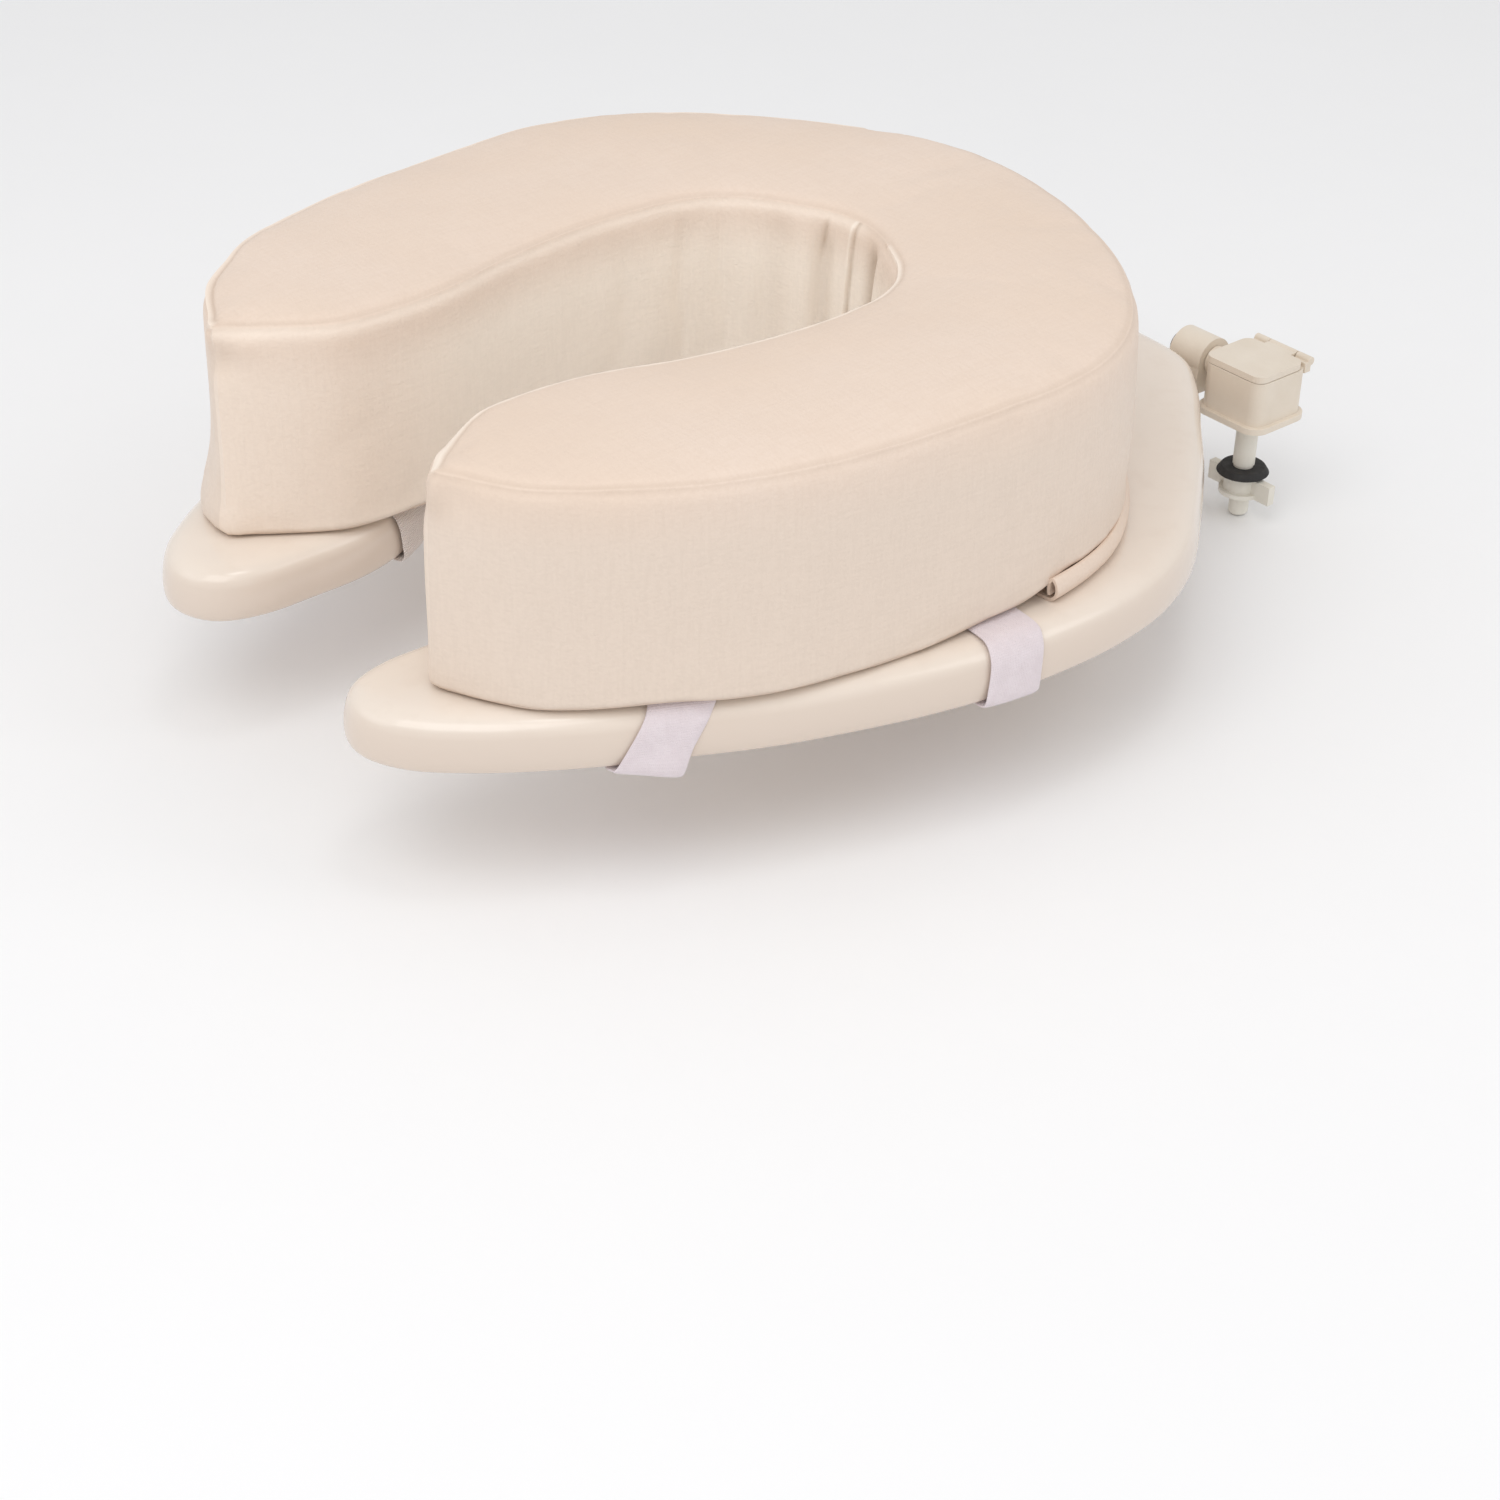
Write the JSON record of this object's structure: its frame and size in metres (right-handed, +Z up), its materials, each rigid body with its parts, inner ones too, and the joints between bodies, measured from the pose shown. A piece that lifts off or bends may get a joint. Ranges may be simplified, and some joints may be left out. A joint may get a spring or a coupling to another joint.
{
  "type": "raised toilet seat",
  "caption": "Open-front toilet seat with a thick padded riser cushion strapped on top, hinged on two posts that bolt to the bowl's rim.",
  "frame": {"origin": "midway between the two hinge bolts, on the plane of the bowl's rim that the posts and bumpers stand on", "axes": "+X to the right of someone facing the seat from the front, and mirror-symmetric about X = 0; +Y to the back; +Z up. The hinge bolts point along -Z."},
  "size_m": [0.3686, 0.4882, 0.1645],
  "materials": {
    "ring_enamel": "glossy bone enamel with a soft orange-peel surface",
    "bumper": "satin moulded bone rubber",
    "hinge_plastic": "semi-gloss moulded bone plastic",
    "steel": "bright stainless steel",
    "bolt_nylon": "natural nylon",
    "washer_rubber": "matte black rubber",
    "foam": "open-cell polyurethane foam",
    "vinyl": "soft satin bone vinyl with a very fine grain",
    "hook_tape": "woven tape with moulded hooks",
    "loop_tape": "brushed loop tape, velvety"
  },
  "bodies": {
    "mount_hardware": {"left_hinge_post": "hinge_plastic", "right_hinge_post": "hinge_plastic", "left_hinge_pin": "steel", "right_hinge_pin": "steel", "hinge_bolts": "bolt_nylon", "rim_washers": "washer_rubber", "wing_nuts": "bolt_nylon"},
    "seat": {"seat_ring": "ring_enamel", "ring_bumpers": "bumper", "left_hinge_leaf": "hinge_plastic", "right_hinge_leaf": "hinge_plastic", "leaf_screws": "steel", "foam_core": "foam", "cover_top_panel": "vinyl", "cover_outer_band": "vinyl", "cover_inner_band": "vinyl", "cover_bottom_panel": "vinyl", "closure_flap": "vinyl", "closure_hook_strip": "hook_tape", "closure_loop_strip": "loop_tape", "front_left_outer_strap": "loop_tape", "front_left_inner_strap": "hook_tape", "front_right_outer_strap": "loop_tape", "front_right_inner_strap": "hook_tape", "rear_left_outer_strap": "loop_tape", "rear_left_inner_strap": "hook_tape", "rear_right_outer_strap": "loop_tape", "rear_right_inner_strap": "hook_tape"},
    "left_cap": {"left_bolt_cap": "hinge_plastic"},
    "right_cap": {"right_bolt_cap": "hinge_plastic"},
    "front_left_outer_tail": {"front_left_outer_tail": "loop_tape"},
    "front_left_inner_tail": {"front_left_inner_tail": "hook_tape"},
    "front_right_outer_tail": {"front_right_outer_tail": "loop_tape"},
    "front_right_inner_tail": {"front_right_inner_tail": "hook_tape"},
    "rear_left_outer_tail": {"rear_left_outer_tail": "loop_tape"},
    "rear_left_inner_tail": {"rear_left_inner_tail": "hook_tape"},
    "rear_right_outer_tail": {"rear_right_outer_tail": "loop_tape"},
    "rear_right_inner_tail": {"rear_right_inner_tail": "hook_tape"}
  },
  "joints": [
    {"name": "seat_hinge", "type": "hinge", "parent": "mount_hardware", "child": "seat", "pos_m": [0, 0, 0.017], "axis": [-1, 0, 0], "range_deg": [0, 101]},
    {"name": "left_cap_flip", "type": "hinge", "parent": "mount_hardware", "child": "left_cap", "pos_m": [-0.07, 0.0182, 0.0258], "axis": [-1, 0, 0], "range_deg": [0, 150]},
    {"name": "right_cap_flip", "type": "hinge", "parent": "mount_hardware", "child": "right_cap", "pos_m": [0.07, 0.0182, 0.0258], "axis": [-1, 0, 0], "range_deg": [0, 150]},
    {"name": "front_left_outer_peel", "type": "hinge", "parent": "seat", "child": "front_left_outer_tail", "pos_m": [-0.13417, -0.39174, 0.00265], "axis": [-0.4472, 0.8944, 0], "range_deg": [0, 110]},
    {"name": "front_left_inner_peel", "type": "hinge", "parent": "seat", "child": "front_left_inner_tail", "pos_m": [-0.04968, -0.36411, 0.00445], "axis": [0.539, -0.8423, 0], "range_deg": [0, 55]},
    {"name": "front_right_outer_peel", "type": "hinge", "parent": "seat", "child": "front_right_outer_tail", "pos_m": [0.13417, -0.39174, 0.00265], "axis": [-0.4472, -0.8944, 0], "range_deg": [0, 110]},
    {"name": "front_right_inner_peel", "type": "hinge", "parent": "seat", "child": "front_right_inner_tail", "pos_m": [0.04968, -0.36411, 0.00445], "axis": [0.539, 0.8423, 0], "range_deg": [0, 55]},
    {"name": "rear_left_outer_peel", "type": "hinge", "parent": "seat", "child": "rear_left_outer_tail", "pos_m": [-0.18139, -0.2562, 0.00265], "axis": [-0.1241, 0.9923, 0], "range_deg": [0, 110]},
    {"name": "rear_left_inner_peel", "type": "hinge", "parent": "seat", "child": "rear_left_inner_tail", "pos_m": [-0.10984, -0.24484, 0.00445], "axis": [0.0945, -0.9955, 0], "range_deg": [0, 55]},
    {"name": "rear_right_outer_peel", "type": "hinge", "parent": "seat", "child": "rear_right_outer_tail", "pos_m": [0.18139, -0.2562, 0.00265], "axis": [-0.1241, -0.9923, 0], "range_deg": [0, 110]},
    {"name": "rear_right_inner_peel", "type": "hinge", "parent": "seat", "child": "rear_right_inner_tail", "pos_m": [0.10984, -0.24484, 0.00445], "axis": [0.0945, 0.9955, 0], "range_deg": [0, 55]}
  ],
  "couplings": [
    {"joint": "front_left_inner_peel", "follows": "front_left_outer_peel", "ratio": 0.5},
    {"joint": "front_right_inner_peel", "follows": "front_right_outer_peel", "ratio": 0.5},
    {"joint": "rear_left_inner_peel", "follows": "rear_left_outer_peel", "ratio": 0.5},
    {"joint": "rear_right_inner_peel", "follows": "rear_right_outer_peel", "ratio": 0.5}
  ]
}
